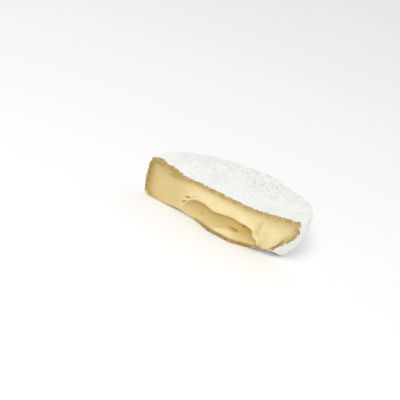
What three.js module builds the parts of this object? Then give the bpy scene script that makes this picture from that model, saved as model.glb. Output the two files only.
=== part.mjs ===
// Half of a soft-ripened cheese wheel, lying flat, with its cut face towards -Y.
// Millimetres, +Z up. The origin is under the middle of the half's box, on the face it rests on.
// The half is one closed solid. Its surface is a stack of closed outlines, each shaped like a
// capital D: a straight side along the cut and an arc round the back. The stack starts at one
// point in the base, spreads out over it, climbs the side and the cut together, and closes to
// one point in the top.

import * as THREE from "three";

// Driving dimensions.
const WHEEL_RADIUS = 55;
const THICKNESS = 24.8;
const CUT_IN_FRONT = 8.2;

// The top is a shallow saddle: it lifts towards both ends of the cut, mostly the right one, and
// sags a little beside the cut at the left.
const RIGHT_LIFT = 5.6;
const RIGHT_LIFT_FROM = 16;
const LEFT_LIFT = 2.2;
const LEFT_LIFT_FROM = 22;
const LIFT_LOST_TO_BACK = 0.35;
const TOP_DIMPLE = 0.5;
const TOP_SAG = 0.9;
const TOP_SAG_PLACE = -28;

// The base is flat, but beside the cut it has a low hump at the left and is turned up at the right.
const BASE_HUMP = 1.5;
const BASE_HUMP_PLACE = -26;
const BASE_TURNED_UP = 4.7;
const BASE_TURNED_UP_FROM = 25;
const BASE_TURNED_UP_TO = 41;
const BENT_DEPTH = 14;

// Where the side turns in to the base: a quarter superellipse, nearly a chamfer at the right end of
// the cut, and a small round at the top rim. The right corner itself is drawn in low down.
const FOOT_WIDTH_LEFT = 4.5;
const FOOT_HEIGHT_LEFT = 6;
const FOOT_POWER_LEFT = 2;
const FOOT_WIDTH_RIGHT = 9.5;
const FOOT_HEIGHT_RIGHT = 18;
const FOOT_POWER_RIGHT = 1.25;
const CORNER_DRAWN_IN = 3.6;
const CORNER_LENGTH = 0.06;
const RIM_ROUND = 2.6;
const SIDE_BULGE = 0.9;
const SIDE_WAVE = 0.45;

// The cut face: the soft paste has slumped forward in the middle, where it is torn back under a
// lip. It bulges in a fat tongue near the right end and is scooped at the left.
const SLUMP = 5.3;
const HOLLOW_DEPTH = 1.9;
const HOLLOW_LEFT = -26;
const HOLLOW_RIGHT = 31;
const HOLLOW_TOP = 13;
const HOLLOW_EDGE = 3;
const TONGUE = 2.3;
const TONGUE_PLACE = 39;
const LEFT_SCOOP = 1.5;
const CUT_EDGE_ROUND = 0.5;

// How finely the surface is divided.
const ARC_STEPS = 72;
const CUT_STEPS = 56;
const BASE_RINGS = 6;
const FOOT_RINGS = 5;
const SIDE_RINGS = 9;
const RIM_RINGS = 3;
const TOP_RINGS = 7;

const POLE = [0, 18];

function smooth(value, low, high) {
  return THREE.MathUtils.smoothstep(value, low, high);
}

function bell(value, centre, halfWidth) {
  return Math.exp(-(((value - centre) / halfWidth) ** 2));
}

// 1 at the cut, falling to 0 a short way behind it.
function besideCut(y) {
  return 1 - smooth(y, -CUT_IN_FRONT, BENT_DEPTH - CUT_IN_FRONT);
}

// Height of the top surface over a point of the plan.
function topHeight(x, y) {
  const backward = THREE.MathUtils.clamp((y + CUT_IN_FRONT) / (WHEEL_RADIUS + CUT_IN_FRONT), 0, 1);
  const kept = 1 - LIFT_LOST_TO_BACK * backward;
  const right = RIGHT_LIFT * smooth(x, RIGHT_LIFT_FROM, WHEEL_RADIUS);
  const left = LEFT_LIFT * smooth(-x, LEFT_LIFT_FROM, WHEEL_RADIUS);
  const dimples = TOP_DIMPLE * Math.sin(0.115 * x + 0.6) * Math.sin(0.13 * y + 0.4);
  const sag = TOP_SAG * bell(x, TOP_SAG_PLACE, 6) * besideCut(y);
  return THICKNESS + (right + left) * kept + dimples * smooth(y, -CUT_IN_FRONT, 8) - sag;
}

// Height of the base over a point of the plan.
function baseHeight(x, y) {
  const hump = BASE_HUMP * bell(x, BASE_HUMP_PLACE, 9);
  const turnedUp = BASE_TURNED_UP * smooth(x, BASE_TURNED_UP_FROM, BASE_TURNED_UP_TO);
  return (hump + turnedUp) * besideCut(y);
}

// A point of the plan raised to a share of the way from the base to the top.
function raised(x, y, share) {
  return [x, y, THREE.MathUtils.lerp(baseHeight(x, y), topHeight(x, y), share)];
}

// How far the cut face stands out towards -Y, at a share up (0 at the base, 1 at the top).
function cutRelief(x, up) {
  const z = up * THICKNESS;
  const slump = SLUMP * smooth(x, -17, 3) * (1 - smooth(x, 14.5, 29)) * (1 - smooth(up, 0.05, 0.95));
  const middle = (HOLLOW_LEFT + HOLLOW_RIGHT) / 2;
  const reach = (HOLLOW_RIGHT - HOLLOW_LEFT) / 2;
  const across = Math.abs(x - middle) / reach;
  const roof = HOLLOW_TOP * Math.sqrt(Math.max(0, 1 - across ** 4));
  const hollow = smooth(roof - z, -HOLLOW_EDGE / 2, HOLLOW_EDGE) * smooth(1 - across, 0, 0.25);
  const tongue = TONGUE * bell(x, TONGUE_PLACE, 6.2) * bell(z, 10, 9.5);
  const scoop = LEFT_SCOOP * bell(x, -41, 10) * bell(up, 0.5, 0.36);
  return slump - HOLLOW_DEPTH * hollow * smooth(up, 0, 0.12) + tongue - scoop;
}

// How far the foot's large right-hand rounding counts, along the arc (0 at its right end, 1 at its left).
function rightShare(along) {
  return ((1 + Math.cos(Math.PI * along)) / 2) ** 2;
}

function footWidth(along) {
  return THREE.MathUtils.lerp(FOOT_WIDTH_LEFT, FOOT_WIDTH_RIGHT, rightShare(along));
}

function footHeight(along) {
  return THREE.MathUtils.lerp(FOOT_HEIGHT_LEFT, FOOT_HEIGHT_RIGHT, rightShare(along));
}

// The exponent that bends the foot's quarter circle: 1 for a round foot, larger for a chamfer.
function footBend(along) {
  return 2 / THREE.MathUtils.lerp(FOOT_POWER_LEFT, FOOT_POWER_RIGHT, rightShare(along));
}

// How far the right corner is drawn in at a share of the height.
function cornerDrawnIn(along, share) {
  return CORNER_DRAWN_IN * (1 - smooth(along, 0, CORNER_LENGTH)) * (1 - smooth(share, 0.15, 0.75));
}

// How far the side swells outwards at a share of the height, a little unevenly along the arc.
function sideSwell(along, share) {
  return Math.sin(Math.PI * share) * (SIDE_BULGE + SIDE_WAVE * Math.sin(11 * along + 3 * share));
}

// One level of the side: how far it is set in from the wheel's radius, and its share of the
// height there, both for a place along the arc.
function level(setIn, height, edge) {
  const share = (along) => height(along) / THICKNESS;
  const inset = (along) => {
    const up = share(along);
    return setIn(along) + cornerDrawnIn(along, up) - sideSwell(along, up);
  };
  return { inset, share, edge };
}

function sideLevels() {
  const levels = [];
  for (let step = 0; step <= FOOT_RINGS; step += 1) {
    const turn = (step / FOOT_RINGS) * (Math.PI / 2);
    const setIn = (along) => footWidth(along) * (1 - Math.sin(turn) ** footBend(along));
    const height = (along) => footHeight(along) * (1 - Math.cos(turn) ** footBend(along));
    levels.push(level(setIn, height, step === 0));
  }
  for (let step = 1; step < SIDE_RINGS; step += 1) {
    const climb = step / SIDE_RINGS;
    const height = (along) => THREE.MathUtils.lerp(footHeight(along), THICKNESS - RIM_ROUND, climb);
    levels.push(level(() => 0, height, false));
  }
  for (let step = 0; step <= RIM_RINGS; step += 1) {
    const turn = (step / RIM_RINGS) * (Math.PI / 2);
    const setIn = () => RIM_ROUND * (1 - Math.cos(turn));
    const height = () => THICKNESS - RIM_ROUND * (1 - Math.sin(turn));
    levels.push(level(setIn, height, step === RIM_RINGS));
  }
  return levels;
}

// One closed outline: along the arc from the right corner to the left one, then back along the cut.
function outline({ inset, share, edge }) {
  const points = [];
  const rightRadius = WHEEL_RADIUS - inset(0);
  const leftRadius = WHEEL_RADIUS - inset(1);
  const rightAngle = -Math.asin(CUT_IN_FRONT / rightRadius);
  const leftAngle = Math.PI + Math.asin(CUT_IN_FRONT / leftRadius);
  for (let step = 0; step <= ARC_STEPS; step += 1) {
    const along = step / ARC_STEPS;
    const angle = THREE.MathUtils.lerp(rightAngle, leftAngle, along);
    const radius = WHEEL_RADIUS - inset(along);
    const x = radius * Math.cos(angle);
    const y = radius * Math.sin(angle);
    points.push(raised(x, y, share(along)));
  }
  const left = points[ARC_STEPS][0];
  const right = points[0][0];
  for (let step = 1; step < CUT_STEPS; step += 1) {
    const across = step / CUT_STEPS;
    const x = THREE.MathUtils.lerp(left, right, across);
    const up = THREE.MathUtils.lerp(share(1), share(0), across);
    const atEnds = smooth(across, 0, 0.05) * smooth(1 - across, 0, 0.05);
    const edgeRound = edge ? CUT_EDGE_ROUND : 0;
    const y = -CUT_IN_FRONT - atEnds * (cutRelief(x, up) - edgeRound);
    points.push(raised(x, y, up));
  }
  return points;
}

// Outlines that shrink from a rim towards the pole, over the base or the top.
function shrunkOutlines(rim, count, height) {
  const rings = [];
  for (let step = 1; step <= count; step += 1) {
    const kept = 1 - step / (count + 1);
    rings.push(rim.map(([x, y]) => {
      const px = POLE[0] + kept * (x - POLE[0]);
      const py = POLE[1] + kept * (y - POLE[1]);
      return [px, py, height(px, py)];
    }));
  }
  return rings;
}

function wheelHalfGeometry() {
  const side = sideLevels().map(outline);
  const base = shrunkOutlines(side[0], BASE_RINGS, baseHeight).reverse();
  const top = shrunkOutlines(side[side.length - 1], TOP_RINGS, topHeight);
  const rings = [...base, ...side, ...top];
  const around = rings[0].length;
  const positions = [...raised(...POLE, 0)];
  rings.forEach((ring) => ring.forEach((point) => positions.push(...point)));
  positions.push(...raised(...POLE, 1));
  const lastVertex = 1 + rings.length * around;
  const faces = [];
  for (let step = 0; step < around; step += 1) {
    const next = (step + 1) % around;
    faces.push(0, 1 + next, 1 + step);
    for (let ring = 0; ring < rings.length - 1; ring += 1) {
      const low = 1 + ring * around;
      const high = low + around;
      faces.push(low + step, low + next, high + next);
      faces.push(low + step, high + next, high + step);
    }
    const rim = 1 + (rings.length - 1) * around;
    faces.push(rim + step, rim + next, lastVertex);
  }
  const geometry = new THREE.BufferGeometry();
  geometry.setAttribute("position", new THREE.Float32BufferAttribute(positions, 3));
  geometry.setIndex(faces);
  centreOnBase(geometry);
  geometry.computeVertexNormals();
  return geometry;
}

// Put the origin under the middle of the box.
function centreOnBase(geometry) {
  geometry.computeBoundingBox();
  const { min, max } = geometry.boundingBox;
  geometry.translate(-(min.x + max.x) / 2, -(min.y + max.y) / 2, -min.z);
}

const rindMaterial = new THREE.MeshStandardMaterial({
  color: new THREE.Color(0.88, 0.87, 0.82),
  roughness: 0.85,
  metalness: 0,
});

const wheelHalf = new THREE.Mesh(wheelHalfGeometry(), rindMaterial);
wheelHalf.name = "wheel_half";

const cheese = new THREE.Group();
cheese.add(wheelHalf);

export default cheese;
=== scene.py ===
"""Half of a small soft-ripened cheese wheel, lying flat with its cut face in front.

Three pieces ride on the one body. The mould rind is a closed shell with a torn edge round the
cut. The cream paste fills it and has slumped out of the cut under its own weight. Rind crumbs
stick along the cut's edges. Shapes are worked out in millimetres round the wheel's own centre,
as whole arrays, and placed in the part's frame in metres.
"""
import math

import bpy
import numpy as np
from mathutils import Matrix, Vector


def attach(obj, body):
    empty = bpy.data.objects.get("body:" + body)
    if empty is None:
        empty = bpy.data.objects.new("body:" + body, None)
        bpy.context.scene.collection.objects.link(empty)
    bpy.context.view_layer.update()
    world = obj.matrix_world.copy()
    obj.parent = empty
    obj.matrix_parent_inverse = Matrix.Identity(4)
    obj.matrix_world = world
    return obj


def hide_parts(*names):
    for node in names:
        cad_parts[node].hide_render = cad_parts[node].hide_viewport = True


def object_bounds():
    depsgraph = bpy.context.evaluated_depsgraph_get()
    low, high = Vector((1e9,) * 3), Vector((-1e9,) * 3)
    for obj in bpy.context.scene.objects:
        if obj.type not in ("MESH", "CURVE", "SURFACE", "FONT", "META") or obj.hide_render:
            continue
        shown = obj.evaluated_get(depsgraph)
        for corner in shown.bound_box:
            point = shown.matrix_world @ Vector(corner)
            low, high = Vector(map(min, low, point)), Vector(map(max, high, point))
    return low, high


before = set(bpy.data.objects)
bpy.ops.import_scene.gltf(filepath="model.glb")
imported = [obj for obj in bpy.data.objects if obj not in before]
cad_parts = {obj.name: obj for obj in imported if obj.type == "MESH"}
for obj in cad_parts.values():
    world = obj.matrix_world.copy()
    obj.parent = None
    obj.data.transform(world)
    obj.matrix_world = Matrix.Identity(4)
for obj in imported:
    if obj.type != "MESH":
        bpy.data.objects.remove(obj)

CAD_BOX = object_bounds()
MM = 0.001

# The wheel half, in millimetres. A dimple wave is radians per millimetre and its start; the
# side's wave is radians along the arc and up the side.
WHEEL_RADIUS = 55.0
THICKNESS = 24.8
CUT_IN_FRONT = 8.2
RIGHT_LIFT = 5.6
RIGHT_LIFT_FROM = 16.0
LEFT_LIFT = 2.2
LEFT_LIFT_FROM = 22.0
LIFT_LOST_TO_BACK = 0.35
TOP_DIMPLE = 0.5
DIMPLE_WAVE_ACROSS = (0.115, 0.6)
DIMPLE_WAVE_BACK = (0.13, 0.4)
TOP_SAG = 0.9
TOP_SAG_PLACE = -28.0
TOP_SAG_WIDTH = 6.0
BASE_HUMP = 1.5
BASE_HUMP_PLACE = -26.0
BASE_HUMP_WIDTH = 9.0
BASE_TURNED_UP = 4.7
BASE_TURNED_UP_FROM = 25.0
BASE_TURNED_UP_TO = 41.0
BENT_DEPTH = 14.0
FOOT_WIDTH_LEFT = 4.5
FOOT_HEIGHT_LEFT = 6.0
FOOT_POWER_LEFT = 2.0
FOOT_WIDTH_RIGHT = 9.5
FOOT_HEIGHT_RIGHT = 18.0
FOOT_POWER_RIGHT = 1.25
CORNER_DRAWN_IN = 3.6
CORNER_LENGTH = 0.06
CORNER_FADES = (0.15, 0.75)
RIM_ROUND = 2.6
SIDE_BULGE = 0.9
SIDE_WAVE = 0.45
SIDE_WAVE_TURNS = (11.0, 3.0)
BACK_SWELL = 1.2
POLE = (0.0, 18.0)

# The cut face's relief: depths and heights, and the places and sizes of its features, across and
# up. The roof's dip and bump are each a height, a place across and a half width.
SLUMP = 5.3
LEFT_SCOOP = 1.6
UPPER_SCOOP = 1.1
RIGHT_SCOOP = 0.7
TONGUE = 2.6
CREASE = 0.6
LIP = 1.7
SHELF = 1.4
OVERHANG = 1.2
HOLLOW_DEPTH = 2.3
HOLLOW_DEPTH_WAVE = 0.25
HOLLOW_MIDDLE = 4.5
HOLLOW_REACH = 28.0
HOLLOW_TOP = 14.1
HOLLOW_SCALE = 12.0
ROOF_DIP = (1.0, -1.0, 5.0)
ROOF_BUMP = (0.7, 13.0, 4.5)
CHEEK = 1.9
CHEEK_PLACE = (29.0, 8.6)
CHEEK_SIZE = (3.0, 3.2)
SHELF_HEIGHT_LEFT = 4.0
SHELF_RISE = 2.9
TONGUE_PLACE = (39.6, 12.5)
TONGUE_SIZE = (8.6, 11.0)
TONGUE_POWER_LEFT = 0.8
TONGUE_POWER_RIGHT = 2.0
TONGUE_EDGE = (42.2, 6.0)
TONGUE_EDGE_LEAN = 0.5
# The tear depth at which the painted shade in the tears is darkest.
DARKEST_TEAR = 2.2

# Skins: how deep the rind's inner wall and the paste lie under the outer form.
RIND_SKIN = 2.9
PASTE_SKIN = 1.0
THIN_SKIN_SHARE = 0.25
END_REACH = 4.0
BORDER_SETBACK = 0.6
BORDER_WIDTH = 0.35

# Grids: steps along the arc and the cut, rows of foot, side and rim, and rings of base and top.
RIND_ARC_STEPS = 360
RIND_CUT_STEPS = 300
RIND_SIDE_ROWS = (14, 22, 6)
RIND_RINGS = (8, 48)
RIND_INNER_RINGS = (2, 3)
BAND_ROWS = 16
PASTE_ARC_STEPS = 64
PASTE_CUT_STEPS = 370
PASTE_SIDE_ROWS = (46, 46, 8)
PASTE_RINGS = (4, 4)

# How far the mould is torn back from the cut, and how far behind it the tearing, the ruffle and
# the thin mould that shows the crust die out.
MEAN_TEAR = 0.45
TEAR_REACH = 2.0
RUFFLE = 0.5
RUFFLE_REACH = 1.5
THIN_MOULD_REACH = 1.1
THIN_MOULD_SHARE = 0.8

# Crumbs of rind: how many lie at each place, how they gather, and the faces of each.
TOP_CRUMBS = 120
FOOT_CRUMBS = 70
END_CRUMBS = 46
CORNER_LUMPS = 22
CRUMBS_PER_CLUSTER = 7
CLUSTER_SPREAD = 1.6
CRUMBS_ALONE = 0.4
CRUMB_COLUMNS = 8
CRUMB_ROWS = 5

# The wheel's centre in the part's frame: its back touches the back of the CAD box.
WHEEL_CENTRE = np.array([0.0, CAD_BOX[1][1] / MM - WHEEL_RADIUS - BACK_SWELL, 0.0])


def smooth(value, low, high):
    """A smooth step from 0 at low to 1 at high: 3t² - 2t³."""
    t = np.clip((value - low) / (high - low), 0.0, 1.0)
    return t * t * (3.0 - 2.0 * t)


def bell(value, centre, half_width):
    """A bell curve: e to the minus square of the distance in half widths."""
    return np.exp(-(((value - centre) / half_width) ** 2))


def blended(low, high, share):
    """The value a share of the way from low to high."""
    return low + (high - low) * share


def rough_field(x, y, z, grain, seed, layers=1):
    """An uneven field between -1 and 1: random heights at the corners of a cubic lattice of side
    grain, mixed by smooth steps. Each further layer has half the grain and half the weight."""
    side = 32
    heights = np.random.default_rng(seed).uniform(-1.0, 1.0, (side, side, side))
    total, weight_sum, weight = 0.0, 0.0, 1.0
    for layer in range(layers):
        places = [np.asarray(axis) * (2 ** layer) / grain + 37.3 * (layer + 1) for axis in (x, y, z)]
        cells = [np.floor(place).astype(int) for place in places]
        mixes = [smooth(place - cell, 0.0, 1.0) for place, cell in zip(places, cells)]
        field = 0.0
        for corner in np.ndindex(2, 2, 2):
            share = 1.0
            for step, mix in zip(corner, mixes):
                share = share * (mix if step else 1.0 - mix)
            index = tuple((cell + step) % side for cell, step in zip(cells, corner))
            field = field + share * heights[index]
        total = total + weight * field
        weight_sum += weight
        weight *= 0.5
    return total / weight_sum


# The wheel half's smooth form.

def beside_cut(y):
    """1 at the cut, falling to 0 a short way behind it."""
    return 1.0 - smooth(y, -CUT_IN_FRONT, BENT_DEPTH - CUT_IN_FRONT)


def top_height(x, y):
    """Height of the top: the thickness, a lift towards each end of the cut that partly dies out
    towards the back, shallow dimples, a product of two sines, and a small sag beside the cut."""
    backward = np.clip((y + CUT_IN_FRONT) / (WHEEL_RADIUS + CUT_IN_FRONT), 0.0, 1.0)
    right = RIGHT_LIFT * smooth(x, RIGHT_LIFT_FROM, WHEEL_RADIUS)
    left = LEFT_LIFT * smooth(-x, LEFT_LIFT_FROM, WHEEL_RADIUS)
    lift = (right + left) * (1.0 - LIFT_LOST_TO_BACK * backward)
    wave_x = np.sin(DIMPLE_WAVE_ACROSS[0] * x + DIMPLE_WAVE_ACROSS[1])
    wave_y = np.sin(DIMPLE_WAVE_BACK[0] * y + DIMPLE_WAVE_BACK[1])
    dimples = TOP_DIMPLE * wave_x * wave_y * smooth(y, -CUT_IN_FRONT, 8.0)
    sag = TOP_SAG * bell(x, TOP_SAG_PLACE, TOP_SAG_WIDTH) * beside_cut(y)
    return THICKNESS + lift + dimples - sag


def base_height(x, y):
    """Height of the base: flat, but beside the cut it has a low hump at the left, a bell, and is
    turned up at the right by a smooth step."""
    hump = BASE_HUMP * bell(x, BASE_HUMP_PLACE, BASE_HUMP_WIDTH)
    turned_up = BASE_TURNED_UP * smooth(x, BASE_TURNED_UP_FROM, BASE_TURNED_UP_TO)
    return (hump + turned_up) * beside_cut(y)


def side_swell(along, share):
    """How far the side bulges out: a half sine over its height, a little uneven along the arc."""
    wave = np.sin(SIDE_WAVE_TURNS[0] * along + SIDE_WAVE_TURNS[1] * share)
    return np.sin(np.pi * share) * (SIDE_BULGE + SIDE_WAVE * wave)


def foot_shape(along):
    """Width, height and power of the quarter superellipse where the side turns into the base: a
    plain ellipse at the left end of the arc, and a wide one cut nearly to a chamfer at the right."""
    right_share = ((1.0 + np.cos(np.pi * along)) / 2.0) ** 2
    width = blended(FOOT_WIDTH_LEFT, FOOT_WIDTH_RIGHT, right_share)
    height = blended(FOOT_HEIGHT_LEFT, FOOT_HEIGHT_RIGHT, right_share)
    power = blended(FOOT_POWER_LEFT, FOOT_POWER_RIGHT, right_share)
    return width, height, power


def side_levels(along, foot_rows, side_rows, rim_rows):
    """Set-in and share of the height of each level of the side, one row per level: a quarter
    superellipse at the foot, an even climb, and a quarter circle at the rim. The right corner is
    drawn in further, low down."""
    width, height, power = foot_shape(along)
    foot_turn = np.linspace(0.0, np.pi / 2, foot_rows + 1)[:, None]
    climb = np.linspace(0.0, 1.0, side_rows + 1)[1:-1, None]
    rim_turn = np.linspace(0.0, np.pi / 2, rim_rows + 1)[:, None]
    set_in = np.concatenate([
        width * (1.0 - np.sin(foot_turn) ** (2.0 / power)),
        0.0 * climb * along,
        RIM_ROUND * (1.0 - np.cos(rim_turn)) + 0.0 * along,
    ])
    heights = np.concatenate([
        height * (1.0 - np.cos(foot_turn) ** (2.0 / power)),
        blended(height, THICKNESS - RIM_ROUND, climb),
        THICKNESS - RIM_ROUND * (1.0 - np.sin(rim_turn)) + 0.0 * along,
    ])
    share = heights / THICKNESS
    at_corner = 1.0 - smooth(along, 0.0, CORNER_LENGTH)
    drawn_in = CORNER_DRAWN_IN * at_corner * (1.0 - smooth(share, *CORNER_FADES))
    return set_in + drawn_in - side_swell(along, share), share


# The cut face's relief.

def nick(x, z, centre, size, turn=0.0):
    """A small flat-bottomed dent, 1 inside and 0 outside: e to the minus fourth power of the
    distance in an ellipse of the given size, turned by so many degrees."""
    lean = math.radians(turn)
    dx, dz = x - centre[0], z - centre[1]
    across = (dx * math.cos(lean) + dz * math.sin(lean)) / size[0]
    upward = (dz * math.cos(lean) - dx * math.sin(lean)) / size[1]
    return np.exp(-((across ** 2 + upward ** 2) ** 2))


def from_hollow(x, z):
    """Distance from the rim of the torn hollow, negative inside it. The rim is a wide arch, a
    superellipse that stands on the base, with a dip and a bump in its roof, and a cheek of paste
    that pushes in at its lower right."""
    across = np.abs(x - HOLLOW_MIDDLE) / HOLLOW_REACH
    dip, dip_place, dip_width = ROOF_DIP
    bump, bump_place, bump_width = ROOF_BUMP
    roof = HOLLOW_TOP - dip * bell(x, dip_place, dip_width) + bump * bell(x, bump_place, bump_width)
    cheek = CHEEK * bell(x, CHEEK_PLACE[0], CHEEK_SIZE[0]) * bell(z, CHEEK_PLACE[1], CHEEK_SIZE[1])
    return HOLLOW_SCALE * (np.sqrt(across ** 6 + (z / roof) ** 2) - 1.0) + cheek


def in_hollow(x, z):
    """1 inside the hollow under the lip, 0 outside, with a narrow soft edge."""
    return smooth(-from_hollow(x, z), -0.3, 1.0)


def on_shelf(x, z):
    """1 on the ledge of paste along the hollow's foot on its right, 0 above it."""
    ledge = SHELF_HEIGHT_LEFT + SHELF_RISE * smooth(x, 1.0, 13.0)
    return smooth(ledge - z, -0.3, 0.7) * smooth(x, -1.0, 6.0) * (1.0 - smooth(x, 11.0, 23.0))


def in_crease(x, z):
    """1 in the soft crease between the hollow's lip and the tongue, 0 elsewhere."""
    axis = 30.2 + 1.8 * smooth(z, 16.0, 22.0)
    return bell(x, axis, 1.3) * smooth(z, 8.0, 13.0) * (1.0 - smooth(z, 18.0, 23.0))


def on_tongue(x, z):
    """Height of the fat tongue at the right, as a share: a dome over an ellipse, one less the
    square of the distance, to a power that leaves a clear edge at its left and none at its right."""
    across, upward = (x - TONGUE_PLACE[0]) / TONGUE_SIZE[0], (z - TONGUE_PLACE[1]) / TONGUE_SIZE[1]
    power = blended(TONGUE_POWER_LEFT, TONGUE_POWER_RIGHT, smooth(x, 35.0, 43.0))
    return np.maximum(1.0 - (across ** 2 + upward ** 2), 0.0) ** power


# Small tears and folds in the cut face: depth (negative for a raised fold), centre across and
# up, half width and half height, and turn in degrees.
TEARS = (
    (1.8, (15.5, 7.6), (3.0, 0.85), -6.0),
    (0.9, (-9.4, 6.6), (1.8, 0.42), -10.0),
    (-0.4, (-9.4, 5.6), (2.0, 0.5), -10.0),
    (0.9, (20.4, 12.4), (1.2, 0.6), -20.0),
    (0.7, (26.3, 4.9), (0.5, 1.4), 15.0),
    (1.5, (-21.6, 12.2), (2.1, 0.55), 14.0),
    (1.3, (-23.6, 7.8), (1.9, 0.6), 42.0),
    (-1.0, (-17.4, 15.8), (2.6, 0.45), 28.0),
    (-0.45, (38.3, 18.3), (4.5, 0.7), 48.0),
    (-0.3, (36.0, 13.6), (2.4, 0.55), 40.0),
)


def cut_standing(x, up):
    """How far the cut face stands out at a place across it and a share of the height. It is a
    slump in the middle that fades upwards, plus a lip round the torn hollow, less the hollow's
    depth, plus the ledge in it and the fat tongue at the right, less the crease beside the tongue,
    three scoops (left, under the top, and right) and the small tears."""
    z = up * THICKNESS
    middle = smooth(x, -17.0, 3.0) * (1.0 - smooth(x, 14.5, 29.0))
    front = SLUMP * middle * (1.0 - smooth(up, 0.05, 0.95))
    scoops = LEFT_SCOOP * bell(x, -41.0, 10.0) * bell(up, 0.5, 0.4)
    scoops = scoops + UPPER_SCOOP * bell(x, -37.0, 8.0) * smooth(up, 0.74, 0.92)
    scoops = scoops + RIGHT_SCOOP * smooth(x, 45.0, 52.0) * smooth(up, 0.1, 0.4)
    away = from_hollow(x, z)
    narrow = smooth(x, 17.0, 26.0)
    lip_place, lip_width = blended(1.9, 0.9, narrow), blended(2.4, 0.95, narrow)
    lip = LIP * (1.0 + 0.3 * narrow) * bell(away, lip_place, lip_width)
    lip = lip * blended(0.35, 1.0, smooth(x, -26.0, -8.0)) * smooth(z, 0.0, 5.0)
    ledge = on_shelf(x, z)
    depth = HOLLOW_DEPTH + HOLLOW_DEPTH_WAVE * np.cos(x / 5.0)
    hollow = in_hollow(x, z) * smooth(z, 0.5, 8.0) * depth
    stands = front - scoops + lip - hollow + SHELF * ledge * smooth(z, 1.0, 5.0)
    stands = stands + TONGUE * on_tongue(x, z) - CREASE * in_crease(x, z)
    for dent, centre, size, turn in TEARS:
        stands = stands - dent * nick(x, z, centre, size, turn)
    return stands


def in_tears(x, z):
    """How far a place is into the tears, as a share of the depth where the painted shade in them is darkest.
    """
    shares = [
        max(dent, 0.0) / DARKEST_TEAR * nick(x, z, centre, size, turn)
        for dent, centre, size, turn in TEARS]
    return np.minimum(sum(shares), 1.0)


def past_tongue(x, z):
    """1 to the right of the tongue's slanting lower edge, 0 on the tongue."""
    return smooth(x - TONGUE_EDGE[0] - TONGUE_EDGE_LEAN * (z - TONGUE_EDGE[1]), -0.4, 0.5)


def paste_unevenness(x, z):
    """What the paste has on top of the cut's relief: a slow, a middling and a quick uneven field,
    the last stronger in the hollow and on the tongue, and the tongue's overhang over the crust at
    the lower right."""
    slow = rough_field(x, 0.0 * x, z, 7.0, 11, 2)
    middling = rough_field(x, 0.0 * x, z, 3.4, 13)
    quick = rough_field(x, 0.0 * x, z, 1.7, 12, 2)
    low_right = smooth(x, 34.0, 41.0) * (1.0 - smooth(z, 15.0, 21.0))
    overhang = OVERHANG * low_right * (1.0 - past_tongue(x, z))
    quick_share = 0.05 + 0.10 * in_hollow(x, z) + 0.06 * on_tongue(x, z)
    return 0.18 * slow + 0.09 * middling + quick_share * quick + overhang


# Grids of points over the half.

def near_ends(x, up):
    """0 at both ends of the cut, at a share of the height, and 1 from END_REACH inwards."""
    along = np.array([0.0, 1.0])
    set_in, share = side_levels(along, 30, 40, 12)
    radius = WHEEL_RADIUS - set_in
    reach = np.sqrt(radius ** 2 - CUT_IN_FRONT ** 2)
    right = np.interp(up, share[:, 0], reach[:, 0])
    left = -np.interp(up, share[:, 1], reach[:, 1])
    return smooth(np.minimum(x - left, right - x), 0.0, END_REACH)


def side_skin(skin, along):
    """The skin over the side: thicker at both ends of the cut."""
    return skin * (1.0 + 0.35 * bell(along, 0.0, 0.05) + 0.5 * bell(along, 1.0, 0.05))


def base_skin(skin, x, y):
    """The skin over the base: thin beside the cut at its left, full elsewhere."""
    thin = (1.0 - smooth(x, -24.0, -6.0)) * beside_cut(y)
    return skin * blended(1.0, THIN_SKIN_SHARE, thin)


def half_wheel_grid(skin, arc_steps, cut_steps, side_rows, ring_counts, unevenness=None):
    """Closed D-shaped outlines, one per row, at a depth of skin under the outer form. A row runs
    along the arc from the right corner to the left one, by an even angle, and back along the cut
    by an even step. Rows spread from the base's pole, climb the side, and shrink to the top's.
    Where the row runs along the cut, its points stand out by the cut's relief and unevenness."""
    along = np.linspace(0.0, 1.0, arc_steps + 1)
    set_in, share = side_levels(along, *side_rows)
    radius = WHEEL_RADIUS - side_skin(skin, along) - set_in
    right_angle = -np.arcsin(CUT_IN_FRONT / radius[:, :1])
    left_angle = np.pi + np.arcsin(CUT_IN_FRONT / radius[:, -1:])
    angle = blended(right_angle, left_angle, along)
    arc_x, arc_y = radius * np.cos(angle), radius * np.sin(angle)
    low = base_height(arc_x, arc_y) + base_skin(skin, arc_x, arc_y)
    arc_z = blended(low, top_height(arc_x, arc_y) - skin, share)

    across = np.linspace(0.0, 1.0, cut_steps + 1)[1:-1]
    cut_x = blended(arc_x[:, -1:], arc_x[:, :1], across)
    cut_share = blended(share[:, -1:], share[:, :1], across)
    low, high = base_height(cut_x, -CUT_IN_FRONT), top_height(cut_x, -CUT_IN_FRONT)
    lowest = low + base_skin(skin, cut_x, -CUT_IN_FRONT)
    cut_z = blended(lowest, high - skin, cut_share)
    up = (cut_z - low) / (high - low)
    stands = cut_standing(cut_x, up)
    if unevenness is not None:
        stands = stands + unevenness(cut_x, cut_z)
    cut_y = -CUT_IN_FRONT - stands * near_ends(cut_x, up)

    side = np.stack([
        np.concatenate([arc_x, cut_x], axis=1),
        np.concatenate([arc_y, cut_y], axis=1),
        np.concatenate([arc_z, cut_z], axis=1),
    ], axis=2)
    base_rings, top_rings = ring_counts
    base = shrunk_rows(side[0], base_rings, lambda x, y: base_height(x, y) + base_skin(skin, x, y))
    top = shrunk_rows(side[-1], top_rings, lambda x, y: top_height(x, y) - skin)
    return np.concatenate([base[::-1], side, top])


def shrunk_rows(rim, count, height):
    """Outlines that shrink evenly from a rim towards the pole, at the given height."""
    kept = 1.0 - np.arange(1, count + 1)[:, None] / (count + 1)
    x = POLE[0] + kept * (rim[None, :, 0] - POLE[0])
    y = POLE[1] + kept * (rim[None, :, 1] - POLE[1])
    return np.stack([x, y, height(x, y)], axis=2)


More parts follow.
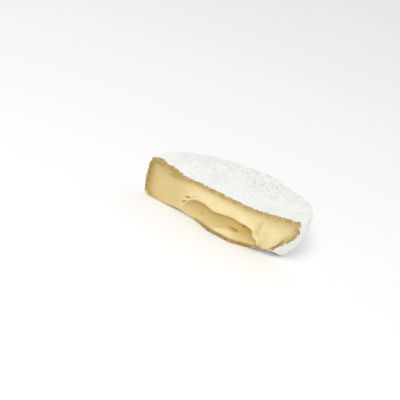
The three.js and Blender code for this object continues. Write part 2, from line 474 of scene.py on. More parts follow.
def grid_normals(points):
    """Unit normals of a grid of closed rows: the step along the row crossed with the step up."""
    along = np.roll(points, -1, axis=1) - np.roll(points, 1, axis=1)
    upward = np.gradient(points, axis=0)
    normal = np.cross(along, upward)
    return normal / np.maximum(np.linalg.norm(normal, axis=2, keepdims=True), 1e-9)


def grid_quads(first_row, last_row, columns, around, offset=0):
    """Corner numbers of the quads between rows first_row and last_row, for the given columns."""
    row = np.arange(first_row, last_row)[:, None]
    column = np.asarray(columns)[None, :]
    following = (column + 1) % around
    low = offset + row * around
    high = low + around
    corners = [low + column, low + following, high + following, high + column]
    return np.stack(corners, axis=2).reshape(-1, 4)


def pole_triangles(row_start, around, pole, above):
    """Corner numbers of the fan that closes a row at its pole, above or below it."""
    step = np.arange(around)
    here, following = row_start + step, row_start + (step + 1) % around
    ends = np.full(around, pole)
    return np.stack([here, following, ends] if above else [following, here, ends], axis=1)


def make_piece(name, points, quads, triangles, material, values=None):
    """A mesh object from points in millimetres round the wheel's centre, smooth shaded, with each
    named value stored at the points."""
    mesh = bpy.data.meshes.new(name)
    places = (np.asarray(points) + WHEEL_CENTRE) * MM
    mesh.from_pydata(places.tolist(), [], quads.tolist() + triangles.tolist())
    for label, numbers in (values or {}).items():
        attribute = mesh.attributes.new(label, "FLOAT", "POINT")
        attribute.data.foreach_set("value", np.asarray(numbers, dtype=np.float32))
    mesh.polygons.foreach_set("use_smooth", np.ones(len(mesh.polygons), dtype=bool))
    mesh.materials.append(material)
    mesh.update()
    piece = bpy.data.objects.new(name, mesh)
    bpy.context.scene.collection.objects.link(piece)
    return piece


# The rind.

def share_up(x, z):
    """The share of the way from the base to the top at the cut."""
    low, high = base_height(x, -CUT_IN_FRONT), top_height(x, -CUT_IN_FRONT)
    return np.clip((z - low) / (high - low), 0.0, 1.0)


def face_place(x, z):
    """Where the cut face lies at a place across it and a height, along Y."""
    up = share_up(x, z)
    return -CUT_IN_FRONT - cut_standing(x, up) * near_ends(x, up)


def bare_foot(x):
    """1 where the paste hangs over the foot of the cut and hides the crust, 0 elsewhere."""
    under_tongue = smooth(x, 33.0, 37.0) * (1.0 - smooth(x, 41.5, 43.5))
    return np.maximum(1.0 - smooth(x, -20.0, -4.0), under_tongue)


def shade_under_top(x, z):
    """Painted shade just under the overhanging top at the left: 1 there, 0 elsewhere."""
    return bell(x, -35.0, 10.0) * smooth(z, 17.0, 21.0)


def browner_and_shaded(x, z):
    """1 along the foot and up the left end of the cut, where the crust is browner; a little less in the
    groove below the tongue, where it is browner too, and under the overhanging top at the left, where it is
    painted shade."""
    foot, left = 1.0 - smooth(z, 3.0, 10.0), 1.0 - smooth(x, -53.0, -44.0)
    groove = 0.8 * smooth(x, 38.0, 44.0) * (1.0 - smooth(z, 12.0, 18.0))
    return np.maximum.reduce([foot, left, 0.9 * shade_under_top(x, z), groove])


def torn_back(x, z):
    """How far the mould is torn back from the cut along its edge: three uneven fields of falling
    size round a mean, and the chips at the two top corners."""
    slow = 0.6 * rough_field(x, 0.0 * x, z, 6.5, 22)
    jagged = 0.85 * rough_field(x, 0.0 * x, z, 2.3, 21)
    fine = 0.6 * rough_field(x, 0.0 * x, z, 0.9, 23)
    left_chip = 3.0 * bell(x, -48.3, 2.4) * smooth(z, 18.0, 23.0)
    right_chip = 2.6 * bell(x, 53.5, 1.8) * smooth(z, 26.0, 29.0)
    return np.maximum(slow + jagged + fine + MEAN_TEAR + (left_chip + right_chip), 0.0)


def rind_relief(points):
    """Height of the mould's own relief: slow swells, lumps, a fine velvet, and pits where an
    uneven field is high, more of them towards the back."""
    x, y, z = points[..., 0], points[..., 1], points[..., 2]
    share = speckled_share(x, y)
    swells = 0.30 * rough_field(x, y, z, 15.0, 31)
    lumps = (0.18 + 0.14 * share) * rough_field(x, y, z, 4.0, 32, 2)
    velvet = 0.12 * rough_field(x, y, z, 1.4, 33, 2)
    pits = 0.6 * smooth(rough_field(x, y, z, 2.6, 34), 0.6 - 0.3 * share, 0.9)
    return swells + lumps + velvet - pits


def speckled_share(x, y):
    """How speckled the mould is: more towards the back."""
    return smooth(y - 0.1 * x, 2.0, 34.0)


def build_rind(material):
    """The shell: an outer grid with relief, an inner grid RIND_SKIN deeper that stays behind the
    cut face, both open at the cut, and a band of loops that joins their two openings and shows as
    the torn crust. Each loop lies a step further from the outer opening to the inner one, on the
    cut face, crumbly in the middle and dipping behind the paste at its inner side."""
    steps = (RIND_ARC_STEPS, RIND_CUT_STEPS, RIND_SIDE_ROWS)
    outer = half_wheel_grid(0.0, *steps, RIND_RINGS)
    inner = half_wheel_grid(RIND_SKIN, *steps, RIND_INNER_RINGS)
    around = outer.shape[1]
    behind_face = face_place(inner[..., 0], inner[..., 2]) + BORDER_SETBACK
    inner[..., 1] = np.maximum(inner[..., 1], behind_face)
    x, z = outer[..., 0], outer[..., 2]
    depth = outer[..., 1] - face_place(x, z)
    lifted = smooth(z - base_height(x, outer[..., 1]), 0.0, 2.5)
    ruffle = RUFFLE * rough_field(x, 0.0 * x, z, 1.6, 35) * np.exp(-(depth / RUFFLE_REACH) ** 2)
    tears = torn_back(x, z) * np.exp(-((depth / TEAR_REACH) ** 2))
    outer = outer + grid_normals(outer) * ((rind_relief(outer) + ruffle) * lifted)[..., None]
    outer[..., 1] += tears
    outer[..., 2] = np.maximum(outer[..., 2], 0.0)

    first, last = RIND_RINGS[0], RIND_RINGS[0] + sum(RIND_SIDE_ROWS)
    inner_first, inner_last = RIND_INNER_RINGS[0], RIND_INNER_RINGS[0] + sum(RIND_SIDE_ROWS)
    left, right = RIND_ARC_STEPS, 0
    top_columns = np.append(np.arange(left, around), right)
    up_rows = np.arange(1, last - first)

    def opening(first_row, last_row):
        """Row and column numbers round the opening: top left to right, down, back, and up."""
        rows = np.concatenate([
            np.full(len(top_columns), last_row), first_row + up_rows[::-1],
            np.full(len(top_columns), first_row), first_row + up_rows,
        ])
        columns = np.concatenate([
            top_columns, np.full(len(up_rows), right),
            top_columns[::-1], np.full(len(up_rows), left),
        ])
        return rows, columns

    outer_rows, outer_columns = opening(first, last)
    inner_rows, inner_columns = opening(inner_first, inner_last)
    start, end = outer[outer_rows, outer_columns], inner[inner_rows, inner_columns]
    t = (np.arange(1, BAND_ROWS) / BAND_ROWS)[:, None]
    band = blended(start[None], end[None], t[..., None])
    bx, bz = band[..., 0], band[..., 2]
    face = face_place(bx, bz)
    torn = start[None, :, 1] - face
    settle = blended(torn, 0.0, smooth(t, 0.0, 0.45)) * (1.0 - smooth(t, 0.75, 1.0))
    over = bz - base_height(bx, -CUT_IN_FRONT)
    smooth_paste = bare_foot(bx) * (1.0 - smooth(over, 2.0, 4.0))
    crumbly = (0.42 * rough_field(bx, 0.0 * bx, bz, 1.2, 41, 2) - 0.16) * np.sin(np.pi * t)
    dive = BORDER_SETBACK * smooth(t, 0.45, 1.0)
    band[..., 1] = face + settle + dive + crumbly * (1.0 - smooth_paste)
    brown_and_shade = np.maximum(browner_and_shaded(bx, bz), 0.6 * (1.0 - smooth(t, 0.15, 0.6)))
    band = band.reshape(-1, 3)

    outer_count, inner_count = outer.shape[0] * around, inner.shape[0] * around
    band_offset = outer_count + inner_count
    pole_offset = band_offset + len(band)
    poles = np.array([
        [POLE[0], POLE[1], 0.0],
        [POLE[0], POLE[1], outer[-1, :, 2].mean()],
        [POLE[0], POLE[1], RIND_SKIN],
        [POLE[0], POLE[1], inner[-1, :, 2].mean()],
    ])
    points = np.concatenate([outer.reshape(-1, 3), inner.reshape(-1, 3), band, poles])

    every, arc = np.arange(around), np.arange(RIND_ARC_STEPS)
    outer_quads = np.concatenate([
        grid_quads(0, first, every, around),
        grid_quads(first, last, arc, around),
        grid_quads(last, outer.shape[0] - 1, every, around),
    ])
    inner_quads = np.concatenate([
        grid_quads(0, inner_first, every, around, outer_count),
        grid_quads(inner_first, inner_last, arc, around, outer_count),
        grid_quads(inner_last, inner.shape[0] - 1, every, around, outer_count),
    ])[:, ::-1]
    loops = np.concatenate([
        (outer_rows * around + outer_columns)[None],
        band_offset + np.arange(len(band)).reshape(BAND_ROWS - 1, -1),
        (outer_count + inner_rows * around + inner_columns)[None],
    ])
    following = np.roll(loops, -1, axis=1)
    band_quads = np.stack([loops[:-1], loops[1:], following[1:], following[:-1]], axis=2)
    fans = np.concatenate([
        pole_triangles(0, around, pole_offset, False),
        pole_triangles(outer_count - around, around, pole_offset + 1, True),
        pole_triangles(outer_count, around, pole_offset + 2, False)[:, ::-1],
        pole_triangles(band_offset - around, around, pole_offset + 3, True)[:, ::-1],
    ])

    thin_mould = THIN_MOULD_SHARE * np.exp(-np.maximum(depth, 0.0) / THIN_MOULD_REACH)
    middle = smooth(x, -6.0, 4.0) * (1.0 - smooth(x, 16.0, 27.0))
    on_top = 1.0 + 0.6 * middle * smooth(outer[..., 1], 22.0, 30.0)
    speckled = speckled_share(x, outer[..., 1]) * blended(0.22, on_top, smooth(z, 18.0, 24.0))
    inner_and_band = np.ones(inner_count + len(band))
    off_band, off_poles = np.zeros(band_offset), np.zeros(len(poles))
    values = {
        "torn": np.concatenate([thin_mould.reshape(-1), inner_and_band, [0.0, 0.0, 1.0, 1.0]]),
        "brown_and_shade": np.concatenate([off_band, brown_and_shade.reshape(-1), off_poles]),
        "bare_paste": np.concatenate([off_band, smooth_paste.reshape(-1), off_poles]),
        "speckled": np.concatenate([speckled.reshape(-1), 0.0 * inner_and_band, off_poles]),
    }
    quads = np.concatenate([outer_quads, inner_quads, band_quads.reshape(-1, 4)])
    points, quads, fans, values = without_spares(points, quads, fans, values)
    return make_piece("mould_rind", points, quads, fans, material, values)


def without_spares(points, quads, triangles, values):
    """The same mesh without the points that no face uses."""
    used = np.unique(np.concatenate([quads.reshape(-1), triangles.reshape(-1)]))
    renumbered = np.zeros(len(points), dtype=int)
    renumbered[used] = np.arange(len(used))
    kept = {label: numbers[used] for label, numbers in values.items()}
    return points[used], renumbered[quads], renumbered[triangles], kept


# The paste.

def build_paste(material):
    """The filling: a closed grid PASTE_SKIN under the outer form, with the cut face's relief, its border set
    back behind the crust. near_rind falls off from the rind inwards, and under the overhanging top at the
    left it carries painted shade; painted_shade is painted shade, 1 in the hollow under the lip, and less in
    its lower part, on its ledge, in the crease and on the scooped left of the face; tear_shade is painted
    shade that follows the tears and is about half at the hollow's right end."""
    grid = half_wheel_grid(
        PASTE_SKIN, PASTE_ARC_STEPS, PASTE_CUT_STEPS, PASTE_SIDE_ROWS, PASTE_RINGS, paste_unevenness)
    around = grid.shape[1]
    x, z = grid[..., 0], grid[..., 2]
    column = np.arange(around)
    cut = (column >= PASTE_ARC_STEPS) | (column == 0)
    left_edge, right_edge = x[:, PASTE_ARC_STEPS, None], x[:, :1]
    low = base_height(x, -CUT_IN_FRONT) + base_skin(PASTE_SKIN, x, -CUT_IN_FRONT)
    under = np.maximum(top_height(x, -CUT_IN_FRONT) - PASTE_SKIN - z, 0.0)
    over = np.maximum(z - low, 0.0)
    sideways = np.maximum(np.minimum(x - left_edge, right_edge - x), 0.0)
    gap = np.minimum(np.minimum(under, over), sideways)
    grid[..., 1] += np.where(cut, BORDER_SETBACK * np.exp(-((gap / BORDER_WIDTH) ** 2)), 0.0)

    ends = smooth(np.abs(x), 22.0, 48.0)
    side_reach = blended(5.4, 0.8, smooth(x, 30.0, 38.0) * (1.0 - smooth(z, 13.0, 18.0)))
    groove = smooth(x, 38.0, 41.0) * past_tongue(x, z) * (1.0 - smooth(z, 14.0, 19.0))
    # near_rind is the browning towards the rind; its share from shade_under_top is painted shade under the
    # overhanging top at the left.
    near_rind = np.maximum.reduce([
        np.exp(-under / blended(2.9, 6.6, ends)),
        (1.0 - smooth(over, 0.4, 2.8)) * (1.0 - bare_foot(x)),
        np.exp(-sideways / side_reach),
        0.75 * shade_under_top(x, z),
        groove,
    ])
    near_rind = np.where(cut, near_rind, 1.0)
    # Painted shade: gold shade painted in the hollow under the lip, darker towards the hollow's top and
    # lighter on its lit ledge, in the crease beside the tongue and on the scooped left face.
    hollow_shade = in_hollow(x, z) * blended(0.45, 1.0, smooth(z, 2.0, 11.0)) * (1.0 - 0.85 * on_shelf(x, z))
    left_face_shade = 0.55 * (1.0 - smooth(x, -33.0, -16.0))
    crease_shade = 0.45 * in_crease(x, z)
    painted_shade = np.where(cut, np.maximum.reduce([hollow_shade, left_face_shade, crease_shade]), 0.0)
    # Painted shade in the tears, darker the deeper they are, and at the hollow's right end under the lip.
    far_end_shade = 0.55 * in_hollow(x, z) * bell(x, 23.5, 6.0) * smooth(z, 5.0, 9.0)
    tear_shade = np.where(cut, np.maximum(in_tears(x, z), far_end_shade), 0.0)

    poles = np.array([
        [POLE[0], POLE[1], PASTE_SKIN],
        [POLE[0], POLE[1], grid[-1, :, 2].mean()],
    ])
    points = np.concatenate([grid.reshape(-1, 3), poles])
    quads = grid_quads(0, grid.shape[0] - 1, np.arange(around), around)
    count = grid.shape[0] * around
    fans = np.concatenate([
        pole_triangles(0, around, count, False),
        pole_triangles(count - around, around, count + 1, True),
    ])
    values = {
        "near_rind": np.append(near_rind.reshape(-1), [1.0, 1.0]),
        "painted_shade": np.append(painted_shade.reshape(-1), [0.0, 0.0]),
        "brown_and_shade": np.append(browner_and_shaded(x, z).reshape(-1), [0.0, 0.0]),
        "tear_shade": np.append(tear_shade.reshape(-1), [0.0, 0.0]),
    }
    return make_piece("cream_paste", points, quads, fans, material, values)


# Crumbs of rind.

def cut_edge_point(x, upper):
    """A point of the cut's top or bottom edge."""
    z = top_height(x, -CUT_IN_FRONT) if upper else base_height(x, -CUT_IN_FRONT)
    share = np.full(len(x), 1.0 if upper else 0.0)
    return np.stack([x, -CUT_IN_FRONT - cut_standing(x, share) * near_ends(x, share), z], axis=1)


def clustered(random, low, high, count):
    """Random places between low and high: a share of them even, the rest in loose clusters."""
    centres = random.uniform(low, high, max(count // CRUMBS_PER_CLUSTER, 2))
    places = random.choice(centres, count) + random.normal(0.0, CLUSTER_SPREAD, count)
    alone = random.random(count) < CRUMBS_ALONE
    return np.clip(np.where(alone, random.uniform(low, high, count), places), low, high)


def crumb_places(random):
    """Centres, sizes and crust shares of the crumbs: along the top edge, down the right end, along
    the foot of the cut, and a group of larger lumps at the torn top left corner."""
    top_x = clustered(random, -53.0, 52.5, TOP_CRUMBS)
    top = cut_edge_point(top_x, True) + np.stack([
        0.0 * top_x, random.uniform(-0.1, 1.0, TOP_CRUMBS), random.uniform(-0.5, 0.1, TOP_CRUMBS)], axis=1)
    foot_x = clustered(random, -2.0, 40.0, FOOT_CRUMBS)
    foot = cut_edge_point(foot_x, False) + np.stack([
        0.0 * foot_x, random.uniform(-0.2, 0.4, FOOT_CRUMBS), random.uniform(0.2, 1.6, FOOT_CRUMBS)], axis=1)
    end_share = random.uniform(0.06, 0.95, END_CRUMBS)
    set_in, share = side_levels(np.zeros(1), 40, 60, 20)
    end_radius = WHEEL_RADIUS - np.interp(end_share, share[:, 0], set_in[:, 0])
    end_x = np.sqrt(end_radius ** 2 - CUT_IN_FRONT ** 2) + random.uniform(-0.6, 0.1, END_CRUMBS)
    end_z = blended(base_height(end_x, -CUT_IN_FRONT), top_height(end_x, -CUT_IN_FRONT), end_share)
    end = np.stack([end_x, -CUT_IN_FRONT + random.uniform(-0.2, 0.7, END_CRUMBS), end_z], axis=1)
    lump_x = random.uniform(-53.0, -44.5, CORNER_LUMPS)
    lump_z = top_height(lump_x, -CUT_IN_FRONT) - random.uniform(0.2, 3.4, CORNER_LUMPS)
    lump = np.stack([lump_x, -CUT_IN_FRONT + random.uniform(0.1, 0.9, CORNER_LUMPS), lump_z], axis=1)
    sizes = np.concatenate([
        random.uniform(0.14, 0.5, TOP_CRUMBS), random.uniform(0.12, 0.36, FOOT_CRUMBS),
        random.uniform(0.2, 0.75, END_CRUMBS), random.uniform(0.35, 0.8, CORNER_LUMPS)])
    crust = np.concatenate([
        random.uniform(0.0, 0.6, TOP_CRUMBS), random.uniform(0.35, 1.0, FOOT_CRUMBS),
        random.uniform(0.0, 0.85, END_CRUMBS), random.uniform(0.7, 1.0, CORNER_LUMPS)])
    return np.concatenate([top, foot, end, lump]), sizes, crust


def build_crumbs(material):
    """Crumbs as uneven balls: a sphere of longitudes and latitudes, stretched on each axis and
    pushed in and out by random shares, all made at once as arrays."""
    random = np.random.default_rng(51)
    centres, sizes, crust = crumb_places(random)
    count = len(centres)
    longitude = np.linspace(0.0, 2.0 * np.pi, CRUMB_COLUMNS, endpoint=False)
    latitude = np.linspace(-np.pi / 2, np.pi / 2, CRUMB_ROWS + 2)[1:-1]
    ball = np.stack([
        (np.cos(latitude)[:, None] * np.cos(longitude)).reshape(-1),
        (np.cos(latitude)[:, None] * np.sin(longitude)).reshape(-1),
        np.repeat(np.sin(latitude), CRUMB_COLUMNS),
    ], axis=1)
    ball = np.concatenate([ball, [[0.0, 0.0, -1.0], [0.0, 0.0, 1.0]]])
    stretch = random.uniform(0.45, 1.35, (count, 1, 3))
    push = random.uniform(0.55, 1.3, (count, len(ball), 1))
    points = centres[:, None] + ball[None] * stretch * push * sizes[:, None, None]
    grid = grid_quads(0, CRUMB_ROWS - 1, np.arange(CRUMB_COLUMNS), CRUMB_COLUMNS)
    body = CRUMB_ROWS * CRUMB_COLUMNS
    fans = np.concatenate([
        pole_triangles(0, CRUMB_COLUMNS, body, False),
        pole_triangles(body - CRUMB_COLUMNS, CRUMB_COLUMNS, body + 1, True),
    ])
    steps = np.arange(count)[:, None, None] * len(ball)
    quads = (grid[None] + steps).reshape(-1, 4)
    triangles = (fans[None] + steps).reshape(-1, 3)
    points[..., 2] = np.maximum(points[..., 2], 0.0)
    values = {"torn": np.repeat(crust, len(ball))}
    return make_piece("rind_crumbs", points.reshape(-1, 3), quads, triangles, material, values)


# Materials.

def rgb(red, green, blue):
    """A colour given as it looks on a screen, 0 to 255, as the shader's linear numbers."""
    def linear(level):
        share = level / 255.0
        return share / 12.92 if share <= 0.04045 else ((share + 0.055) / 1.055) ** 2.4
    return (linear(red), linear(green), linear(blue), 1.0)


MOULD_WHITE = rgb(246, 246, 242)
MOULD_SHADE = rgb(240, 241, 237)
THIN_MOULD = rgb(226, 222, 200)
SPECK_GREY = rgb(180, 181, 172)
LIGHT_TAN, DARK_TAN, TAN_GRAIN = rgb(210, 184, 126), rgb(188, 158, 98), 1.3
LIGHT_UMBER, DARK_UMBER, UMBER_GRAIN = rgb(190, 160, 96), rgb(156, 125, 66), 1.2
BARE_CREAM = rgb(228, 206, 148)
PASTE_CREAM = rgb(238, 221, 171)
PASTE_BUTTER = rgb(234, 215, 161)
# Painted shade: the gold painted in the hollow under the lip, in the crease and on the scooped left face.
PAINTED_SHADE_GOLD = rgb(204, 176, 106)
# Painted shade: the deeper gold painted in the tears and at the hollow's right end.
TEAR_SHADE_GOLD = rgb(200, 165, 62)
FLECK_GOLD = rgb(226, 202, 142)
BROWNING = rgb(210, 186, 126)
# The olive is real browning at the foot and left end of the cut, and painted shade under the overhanging top
# at the left.
OLIVE_BROWNING_AND_SHADE = rgb(184, 160, 92)
TABLE_WHITE = rgb(254, 254, 254)
MEALY = 1.8
MOULD_BUMP, CRUMB_BUMP, PASTE_BUMP = 0.35 * MM, 0.15 * MM, 0.3 * MM


class Nodes:
    """A node tree being laid out. add() makes a node, sets its settings, and gives its sockets a
    constant or joins them to another node's socket."""

    def __init__(self, tree):
        self.tree = tree

    def add(self, kind, sockets=None, **settings):
        node = self.tree.nodes.new(kind)
        for name, value in settings.items():
            setattr(node, name, value)
        for name, value in (sockets or {}).items():
            if isinstance(value, bpy.types.NodeSocket):
                self.tree.links.new(value, node.inputs[name])
            else:
                node.inputs[name].default_value = value
        return node

    def math(self, operation, first, second=0.0):
        return self.add("ShaderNodeMath", {0: first, 1: second}, operation=operation).outputs[0]

    def ramp(self, value, low, high):
        """A smooth step of value from low to high."""
        node = self.add("ShaderNodeMapRange", {"Value": value, "From Min": low, "From Max": high},
                        interpolation_type="SMOOTHSTEP")
        return node.outputs["Result"]

    def mixed(self, share, first, second, mode="MIX"):
        node = self.add("ShaderNodeMix", data_type="RGBA", blend_type=mode)
        for socket, value in zip((node.inputs[0], node.inputs[6], node.inputs[7]), (share, first, second)):
            if isinstance(value, bpy.types.NodeSocket):
                self.tree.links.new(value, socket)
            else:
                socket.default_value = value
        return node.outputs[2]


def new_group(name, inputs, outputs):
    """A shader node group with the named sockets, and its inputs and outputs nodes."""
    tree = bpy.data.node_groups.new(name, "ShaderNodeTree")
    for label, kind, value in inputs:
        socket = tree.interface.new_socket(label, in_out="INPUT", socket_type=kind)
        socket.default_value = value
    for label, kind in outputs:
        tree.interface.new_socket(label, in_out="OUTPUT", socket_type=kind)
    nodes = Nodes(tree)
    return nodes, nodes.add("NodeGroupInput").outputs, nodes.add("NodeGroupOutput").inputs


COLOUR, NUMBER, VECTOR = "NodeSocketColor", "NodeSocketFloat", "NodeSocketVector"


def grain_group():
    """Uneven grain of a size given in millimetres, as a value about a half and as a mask of the
    places where it is high."""
    nodes, given, result = new_group("grain", [
        ("Place", VECTOR, (0.0, 0.0, 0.0)), ("Size", NUMBER, 1.0), ("Detail", NUMBER, 3.0),
        ("Low", NUMBER, 0.5), ("High", NUMBER, 0.7),
    ], [("Value", NUMBER), ("Mask", NUMBER)])
    scale = nodes.math("DIVIDE", 1.0 / MM, given["Size"])
    noise = nodes.add("ShaderNodeTexNoise", {
        "Vector": given["Place"], "Scale": scale, "Detail": given["Detail"], "Roughness": 0.55})
    nodes.tree.links.new(noise.outputs[0], result["Value"])
    nodes.tree.links.new(nodes.ramp(noise.outputs[0], given["Low"], given["High"]), result["Mask"])
    return nodes.tree


def crust_group(grain):
    """The torn crust under the mould: two tans mottled by a grain, darker in small hollows, with
    the height of its crumbs."""
    nodes, given, result = new_group("torn_crust", [
        ("Place", VECTOR, (0.0, 0.0, 0.0)), ("Light tan", COLOUR, (0.6, 0.45, 0.2, 1.0)),
        ("Dark tan", COLOUR, (0.35, 0.22, 0.07, 1.0)), ("Size", NUMBER, 1.0),
    ], [("Color", COLOUR), ("Height", NUMBER)])
    coarse = nodes.add("ShaderNodeGroup", node_tree=grain)
    fine = nodes.add("ShaderNodeGroup", node_tree=grain)
    for node, share, low, high in ((coarse, 1.4, 0.42, 0.62), (fine, 0.4, 0.4, 0.7)):
        nodes.tree.links.new(given["Place"], node.inputs["Place"])
        nodes.tree.links.new(nodes.math("MULTIPLY", given["Size"], share), node.inputs["Size"])
        node.inputs["Low"].default_value = low
        node.inputs["High"].default_value = high
    tan = nodes.mixed(coarse.outputs["Mask"], given["Light tan"], given["Dark tan"])
    shade = nodes.mixed(nodes.math("MULTIPLY", fine.outputs["Mask"], 0.35), tan, given["Dark tan"])
    nodes.tree.links.new(shade, result["Color"])
    crumbs = nodes.math("MULTIPLY", fine.outputs["Value"], 0.6)
    height = nodes.math("ADD", coarse.outputs["Value"], crumbs)
    nodes.tree.links.new(height, result["Height"])
    return nodes.tree


def grain_of(nodes, grain, place, size, low=0.5, high=0.7, detail=3.0):
    """A placed grain group's outputs."""
    node = nodes.add("ShaderNodeGroup", node_tree=grain)
    nodes.tree.links.new(place, node.inputs["Place"])
    for name, value in (("Size", size), ("Low", low), ("High", high), ("Detail", detail)):
        node.inputs[name].default_value = value
    return node.outputs


def crust_of(nodes, crust, place, light, dark, size):
    """A placed torn crust group's outputs."""
    node = nodes.add("ShaderNodeGroup", node_tree=crust)
    nodes.tree.links.new(place, node.inputs["Place"])
    node.inputs["Light tan"].default_value = light
    node.inputs["Dark tan"].default_value = dark
    node.inputs["Size"].default_value = size
    return node.outputs


def new_material(name):
    """A material with a Principled shader on its surface, and that shader and its nodes."""
    material = bpy.data.materials.new(name)
    material.use_nodes = True
    material.node_tree.nodes.clear()
    nodes = Nodes(material.node_tree)
    shader = nodes.add("ShaderNodeBsdfPrincipled")
    nodes.add("ShaderNodeOutputMaterial", {"Surface": shader.outputs[0]})
    return material, nodes, shader


def rind_material(grain, crust, name, bump_height):
    """Velvety white mould with grey specks and creamy thin places, and the tan crust wherever the torn value
    passes an uneven threshold. The crust turns umber where brown_and_shade is high, which is real browning
    along the foot and left end and painted shade under the overhanging top at the left. It gives way to
    cream where bare_paste is."""
    material, nodes, shader = new_material(name)
    place = nodes.add("ShaderNodeTexCoord").outputs["Object"]
    torn, brown_and_shade, bare_paste, speckled = (
        nodes.add("ShaderNodeAttribute", attribute_name=label).outputs["Fac"]
        for label in ("torn", "brown_and_shade", "bare_paste", "speckled"))
    clouds = grain_of(nodes, grain, place, 9.0, 0.42, 0.66)
    thin = grain_of(nodes, grain, place, 3.4, 0.56, 0.72)
    specks = grain_of(nodes, grain, place, 1.6, 0.53, 0.76)
    velvet = grain_of(nodes, grain, place, 0.5, 0.3, 0.7)
    lumps = grain_of(nodes, grain, place, 1.8, 0.3, 0.7)
    edge = grain_of(nodes, grain, place, 1.4, 0.3, 0.7)

    white = nodes.mixed(clouds["Mask"], MOULD_WHITE, MOULD_SHADE)
    strength = nodes.math("ADD", nodes.math("MULTIPLY", speckled, 0.68), 0.14)
    white = nodes.mixed(nodes.math("MULTIPLY", thin["Mask"], strength), white, THIN_MOULD)
    white = nodes.mixed(nodes.math("MULTIPLY", specks["Mask"], strength), white, SPECK_GREY)
    tan = crust_of(nodes, crust, place, LIGHT_TAN, DARK_TAN, TAN_GRAIN)
    umber = crust_of(nodes, crust, place, LIGHT_UMBER, DARK_UMBER, UMBER_GRAIN)
    # Umber where brown_and_shade is high: real crust along the foot and left end, and painted shade under
    # the overhanging top at the left.
    tan_color = nodes.mixed(brown_and_shade, tan["Color"], umber["Color"])
    tan_color = nodes.mixed(bare_paste, tan_color, BARE_CREAM)
    wander = nodes.math("MULTIPLY", nodes.math("SUBTRACT", edge["Value"], 0.5), 1.7)
    bare = nodes.ramp(nodes.math("ADD", torn, wander), 0.5, 0.62)
    color = nodes.mixed(bare, white, tan_color)
    nodes.tree.links.new(color, shader.inputs["Base Color"])

    felt = nodes.math("ADD", nodes.math("MULTIPLY", velvet["Value"], 0.35), lumps["Value"])
    felt = nodes.math("SUBTRACT", felt, nodes.math("MULTIPLY", specks["Mask"], strength))
    mealy = nodes.math("MULTIPLY", tan["Height"], nodes.math("MULTIPLY", bare, MEALY))
    height = nodes.math("ADD", felt, mealy)
    bump = nodes.add("ShaderNodeBump", {"Height": height, "Strength": 0.6, "Distance": bump_height})
    nodes.tree.links.new(bump.outputs[0], shader.inputs["Normal"])
    shader.inputs["Roughness"].default_value = 0.88
    shader.inputs["Specular IOR Level"].default_value = 0.25
    shader.inputs["Sheen Weight"].default_value = 0.15
    shader.inputs["Sheen Roughness"].default_value = 0.6
    return material


def paste_material(grain, crust):
    """Soft cream paste: gold painted shade in the hollow under the lip, the crease and the scooped left,
    deeper gold painted shade in the tears, and browning into the crust towards the rind, where it is also
    rougher; the olive under the top at the left is painted shade."""
    material, nodes, shader = new_material("cream_paste")
    place = nodes.add("ShaderNodeTexCoord").outputs["Object"]
    near_rind, painted_shade, brown_and_shade, tear_shade = (
        nodes.add("ShaderNodeAttribute", attribute_name=label).outputs["Fac"]
        for label in ("near_rind", "painted_shade", "brown_and_shade", "tear_shade"))
    clouds = grain_of(nodes, grain, place, 8.0, 0.4, 0.65)
    flecks = grain_of(nodes, grain, place, 1.2, 0.6, 0.75)
    waves = grain_of(nodes, grain, place, 2.6, 0.3, 0.7)
    edge = grain_of(nodes, grain, place, 1.0, 0.3, 0.7)

    cream = nodes.mixed(clouds["Mask"], PASTE_CREAM, PASTE_BUTTER)
    # Painted shade: gold in the hollow under the lip, in the crease and on the scooped left face.
    golden = nodes.mixed(painted_shade, cream, PAINTED_SHADE_GOLD)
    # Painted shade: deeper gold in the tears and at the hollow's right end.
    golden = nodes.mixed(tear_shade, golden, TEAR_SHADE_GOLD)
    golden = nodes.mixed(nodes.math("MULTIPLY", flecks["Mask"], 0.2), golden, FLECK_GOLD)
    tan = crust_of(nodes, crust, place, LIGHT_TAN, DARK_TAN, TAN_GRAIN)
    umber = crust_of(nodes, crust, place, LIGHT_UMBER, DARK_UMBER, UMBER_GRAIN)
    wander = nodes.math("MULTIPLY", nodes.math("SUBTRACT", edge["Value"], 0.5), 0.4)
    browning = nodes.ramp(nodes.math("ADD", near_rind, wander), 0.08, 0.75)
    # Olive where brown_and_shade is high: real browning along the foot and left end, and painted shade under
    # the overhanging top at the left.
    olive = nodes.mixed(brown_and_shade, BROWNING, OLIVE_BROWNING_AND_SHADE)
    color = nodes.mixed(browning, golden, olive)
    crusted = nodes.ramp(nodes.math("ADD", near_rind, wander), 0.62, 0.95)
    tan_color = nodes.mixed(brown_and_shade, tan["Color"], umber["Color"])
    color = nodes.mixed(crusted, color, tan_color)
    nodes.tree.links.new(color, shader.inputs["Base Color"])

    mealy = nodes.math("MULTIPLY", tan["Height"], nodes.math("MULTIPLY", crusted, MEALY))
    height = nodes.math("ADD", waves["Value"], mealy)
    bump = nodes.add("ShaderNodeBump", {"Height": height, "Strength": 0.5, "Distance": PASTE_BUMP})
    nodes.tree.links.new(bump.outputs[0], shader.inputs["Normal"])
    rough = nodes.ramp(near_rind, 0.0, 1.0)
    roughness = nodes.add("ShaderNodeMapRange", {"Value": rough, "To Min": 0.42, "To Max": 0.75})
    nodes.tree.links.new(roughness.outputs[0], shader.inputs["Roughness"])
    shader.inputs["Specular IOR Level"].default_value = 0.4
    shader.inputs["Subsurface Weight"].default_value = 0.35
    shader.inputs["Subsurface Radius"].default_value = (1.0, 0.62, 0.25)
    shader.inputs["Subsurface Scale"].default_value = 1.6 * MM
    return material


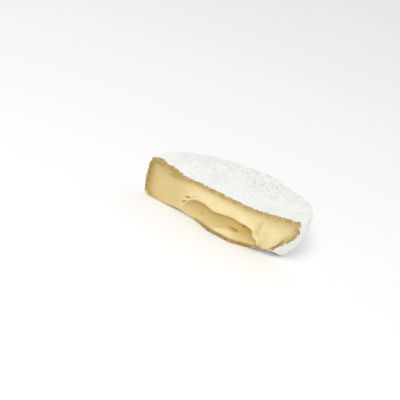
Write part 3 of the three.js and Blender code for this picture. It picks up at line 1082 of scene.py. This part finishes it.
def table_material():
    """A plain white table."""
    material, _, shader = new_material("white_table")
    shader.inputs["Base Color"].default_value = TABLE_WHITE
    shader.inputs["Roughness"].default_value = 0.9
    return material


# Table, light and camera.

CAMERA_AIM = np.array([-16.04, -1.82, 11.35])
CAMERA_AZIMUTH = 24.76
CAMERA_ELEVATION = 23.86
CAMERA_ROLL = 16.65
CAMERA_DISTANCE = 550.3
CAMERA_LENS = 77.33
CAMERA_NEAR = 0.01
FRAME_SIZE = 36.0
TABLE_HALF = 3.0
ROOM_LIGHT = 0.74
SOFTBOX_PLACE = (0.12, -1.0, 1.25)
SOFTBOX_SIZE = 0.7
SOFTBOX_POWER = 8.8


def build_table():
    """A flat square table top, facing up."""
    corners = [(TABLE_HALF * x, TABLE_HALF * y, 0.0) for x, y in ((-1, -1), (1, -1), (1, 1), (-1, 1))]
    mesh = bpy.data.meshes.new("table_top")
    mesh.from_pydata(corners, [], [(0, 1, 2, 3)])
    mesh.materials.append(table_material())
    table = bpy.data.objects.new("table_top", mesh)
    bpy.context.scene.collection.objects.link(table)


def aimed(place, target, roll=0.0):
    """The placement of a lamp or camera at place that looks at target, rolled by so many degrees."""
    away = (Vector(place) - Vector(target)).normalized()
    turn = away.to_track_quat("Z", "Y").to_matrix().to_4x4()
    return Matrix.Translation(Vector(place)) @ turn @ Matrix.Rotation(math.radians(roll), 4, "Z")


def build_camera():
    """The camera, on the line from its aim at its azimuth and elevation."""
    azimuth, elevation = math.radians(CAMERA_AZIMUTH), math.radians(CAMERA_ELEVATION)
    level = math.cos(elevation)
    outward = np.array([math.sin(azimuth) * level, -math.cos(azimuth) * level, math.sin(elevation)])
    aim = (CAMERA_AIM + WHEEL_CENTRE) * MM
    data = bpy.data.cameras.new("view")
    data.sensor_width = FRAME_SIZE
    data.lens = CAMERA_LENS
    data.clip_start = CAMERA_NEAR
    camera = bpy.data.objects.new("view", data)
    camera.matrix_world = aimed(aim + outward * CAMERA_DISTANCE * MM, aim, CAMERA_ROLL)
    bpy.context.scene.collection.objects.link(camera)
    bpy.context.scene.camera = camera


def build_light():
    """An even white room, and one round softbox in front, aimed at the origin."""
    world = bpy.data.worlds.new("soft_room")
    world.use_nodes = True
    background = world.node_tree.nodes["Background"]
    background.inputs["Color"].default_value = (1.0, 1.0, 1.0, 1.0)
    background.inputs["Strength"].default_value = ROOM_LIGHT
    bpy.context.scene.world = world
    data = bpy.data.lights.new("front_softbox", "AREA")
    data.shape = "DISK"
    data.size = SOFTBOX_SIZE
    data.energy = SOFTBOX_POWER
    softbox = bpy.data.objects.new("front_softbox", data)
    softbox.matrix_world = aimed(SOFTBOX_PLACE, (0.0, 0.0, 0.0))
    bpy.context.scene.collection.objects.link(softbox)


grain = grain_group()
crust = crust_group(grain)
rind = build_rind(rind_material(grain, crust, "mould_rind", MOULD_BUMP))
paste = build_paste(paste_material(grain, crust))
crumbs = build_crumbs(rind_material(grain, crust, "rind_crumb", CRUMB_BUMP))

for piece, slot in ((rind, "rind"), (paste, "paste"), (crumbs, "rind")):
    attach(piece, "root")
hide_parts("wheel_half")
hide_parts("wheel_half")

build_table()
build_light()
build_camera()
bpy.context.scene.view_settings.view_transform = "Standard"
